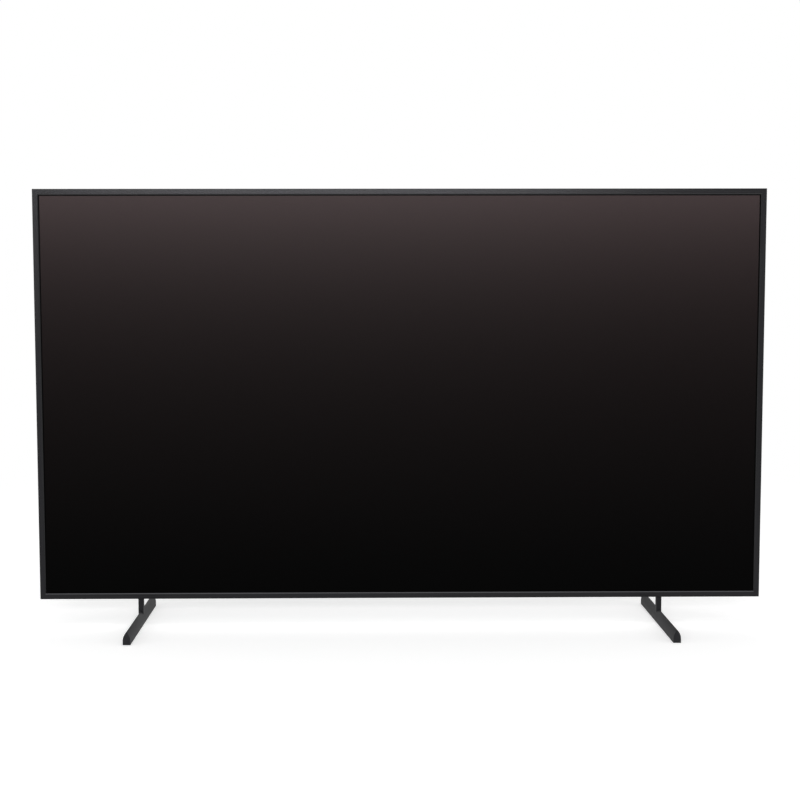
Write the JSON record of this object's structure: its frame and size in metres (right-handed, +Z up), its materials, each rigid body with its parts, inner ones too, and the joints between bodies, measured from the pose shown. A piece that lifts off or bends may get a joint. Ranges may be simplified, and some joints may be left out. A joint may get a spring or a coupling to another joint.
{
  "type": "flat screen television",
  "caption": "Slim flat screen television with a thin mitred metal frame, a dark glossy screen and height-adjustable blade feet that run front to back.",
  "frame": {"origin": "on the floor, midway between the two feet and midway between the blades' ends", "axes": "+X to the right of someone who watches the screen, +Y to the rear, +Z up"},
  "size_m": [1.238, 0.237, 0.746],
  "materials": {
    "frame_metal": "satin",
    "bare_aluminium": "satin",
    "screen_glass": "gloss",
    "foam": "matte",
    "black_moulding": "matte",
    "white_film": "satin",
    "clear_acrylic": "gloss",
    "pressed_steel": "satin",
    "white_board": "satin",
    "green_board": "satin",
    "amber_film": "satin",
    "dark_ferrite": "matte",
    "capacitor_sleeve": "gloss",
    "socket_metal": "satin",
    "black_socket": "satin",
    "cover_plastic": "matte",
    "button_plastic": "satin",
    "smoked_window": "gloss",
    "wire_sleeve": "satin",
    "ribbon": "satin",
    "zinc_screw": "satin",
    "black_screw": "satin",
    "foot_paint": "satin",
    "rubber": "matte"
  },
  "bodies": {
    "tv_body": {"bezel_top": "frame_metal", "bezel_bottom": "frame_metal", "bezel_left": "frame_metal", "bezel_right": "frame_metal", "corner_keys": "bare_aluminium", "lcd_panel": "screen_glass", "panel_gasket": "foam", "panel_frame": "black_moulding", "cover_sheet": "white_film", "prism_sheet": "white_film", "diffuser_sheet": "white_film", "light_guide": "clear_acrylic", "reflector_sheet": "white_film", "led_bar": "bare_aluminium", "led_strip": "white_board", "backlight_tray": "pressed_steel", "vesa_bosses": "zinc_screw", "source_boards": "green_board", "panel_films": "amber_film", "main_board": "green_board", "power_board": "green_board", "timing_board": "green_board", "heat_sink": "bare_aluminium", "transformers": "dark_ferrite", "capacitors": "capacitor_sleeve", "insulation_sheet": "black_moulding", "board_spacers": "zinc_screw", "board_screws": "zinc_screw", "hdmi_sockets": "socket_metal", "usb_sockets": "socket_metal", "lan_socket": "black_socket", "optical_socket": "black_socket", "aerial_socket": "socket_metal", "ac_inlet": "black_socket", "ribbon_cables": "ribbon", "power_harness": "wire_sleeve", "signal_wires": "wire_sleeve", "wireless_module": "green_board", "speaker_left": "black_moulding", "speaker_right": "black_moulding", "speaker_drivers": "black_socket", "sensor_window": "smoked_window", "sensor_board": "green_board", "button_board": "green_board", "rear_cover": "cover_plastic", "rear_cover_screws": "black_screw", "terminal_plate": "cover_plastic", "inlet_plate": "cover_plastic", "foot_bracket_left": "pressed_steel", "foot_bracket_right": "pressed_steel", "foot_clamp_screws": "black_screw"},
    "foot_left": {"foot_left": "foot_paint", "foot_left_pads": "rubber"},
    "foot_right": {"foot_right": "foot_paint", "foot_right_pads": "rubber"},
    "control_button": {"control_button": "button_plastic", "switch_plunger": "white_board"},
    "terminal_cover": {"terminal_cover": "cover_plastic"}
  },
  "joints": [
    {"name": "foot_left_height", "type": "slide", "parent": "tv_body", "child": "foot_left", "axis": [0, 0, 1], "range_m": [0, 0.021]},
    {"name": "foot_right_height", "type": "slide", "parent": "tv_body", "child": "foot_right", "axis": [0, 0, 1], "range_m": [0, 0.021]},
    {"name": "control_button_press", "type": "slide", "parent": "tv_body", "child": "control_button", "axis": [0, 0, 1], "range_m": [0, 0.0005], "stiffness_N_per_m": 800, "springref_m": -0.001},
    {"name": "terminal_cover_off", "type": "slide", "parent": "tv_body", "child": "terminal_cover", "axis": [0, 1, 0], "range_m": [0, 0.04]}
  ]
}
